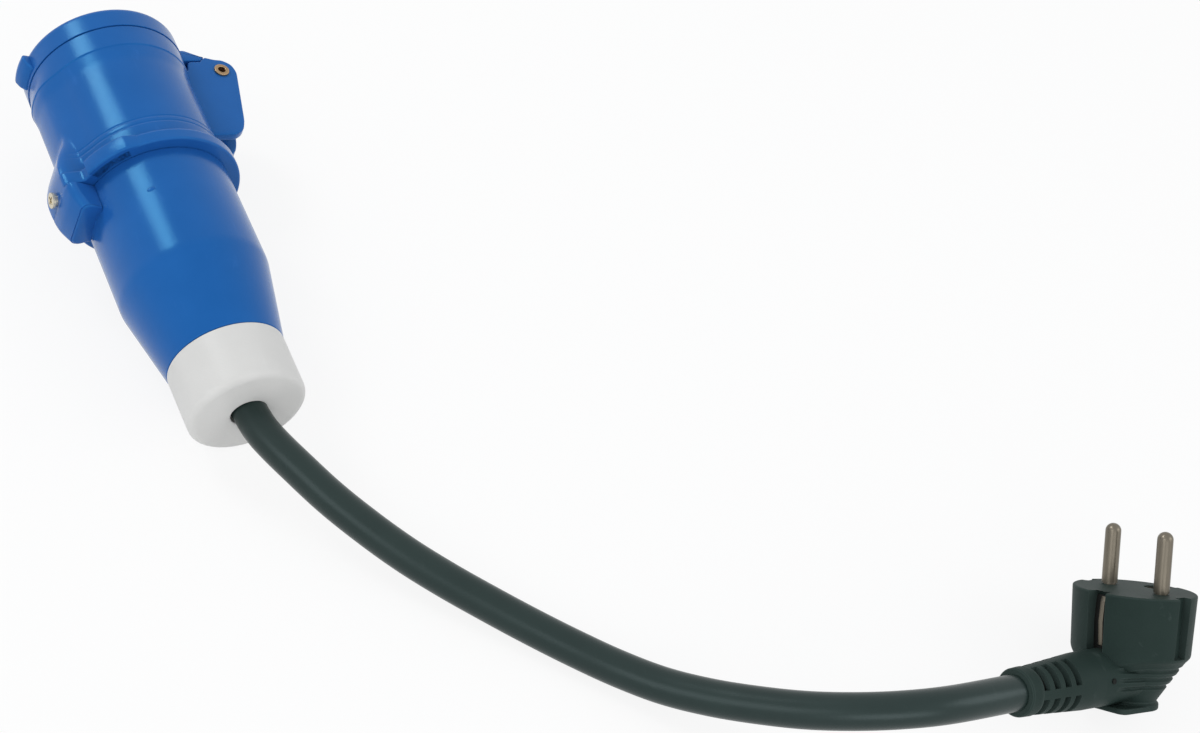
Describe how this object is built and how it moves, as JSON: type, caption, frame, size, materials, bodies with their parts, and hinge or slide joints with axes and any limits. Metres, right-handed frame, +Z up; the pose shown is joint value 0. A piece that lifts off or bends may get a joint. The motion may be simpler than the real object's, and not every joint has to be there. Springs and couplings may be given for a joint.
{
  "type": "power adapter cable",
  "caption": "Short adapter lead from a moulded angled mains plug with round pins to a round blue cable coupler with a sprung hinged lid.",
  "frame": {"origin": "on the floor, under the middle of the coupler's box", "axes": "+Y along the coupler towards its lid, +X towards the lid's hinge, +Z up from the floor"},
  "size_m": [0.2788, 0.3342, 0.0597],
  "materials": {
    "blue_shell": "smooth moulded",
    "black_rubber": "matt",
    "brass_rivet": "drawn",
    "spring_steel": "drawn wire",
    "dark_insert": "moulded",
    "brass_contact": "turned",
    "zinc_steel": "zinc plated",
    "white_plastic": "moulded",
    "brown_core": "extruded",
    "blue_core": "extruded",
    "green_yellow_core": "extruded, striped",
    "cord_rubber": "satin",
    "nickel_pin": "nickel plated"
  },
  "bodies": {
    "coupler": {"front_shell": "blue_shell", "hinge_pin": "brass_rivet", "hinge_spring": "spring_steel", "insert_line": "dark_insert", "insert_neutral": "dark_insert", "insert_earth": "dark_insert", "line_contact": "brass_contact", "neutral_contact": "brass_contact", "earth_contact": "brass_contact", "terminal_screws": "zinc_steel", "handle": "blue_shell", "shell_screw": "zinc_steel", "cord_clamp": "dark_insert", "clamp_screws": "zinc_steel", "gland_seal": "black_rubber", "gland_washer": "white_plastic", "gland_nut": "white_plastic", "line_core": "brown_core", "neutral_core": "blue_core", "earth_core": "green_yellow_core", "cable": "cord_rubber", "plug_body": "cord_rubber", "plug_pin_left": "nickel_pin", "plug_pin_right": "nickel_pin", "earth_clip_front": "nickel_pin", "earth_clip_back": "nickel_pin", "earth_socket": "nickel_pin"},
    "lid": {"lid": "blue_shell", "lid_gasket": "black_rubber"}
  },
  "joints": [
    {"name": "lid_hinge", "type": "hinge", "parent": "coupler", "child": "lid", "pos_m": [0.03267, 0.06324, 0.02693], "axis": [-0.1564, 0.1008, -0.9825], "range_deg": [0, 105], "stiffness_Nm_per_rad": 0.03, "springref_deg": -40.11}
  ]
}
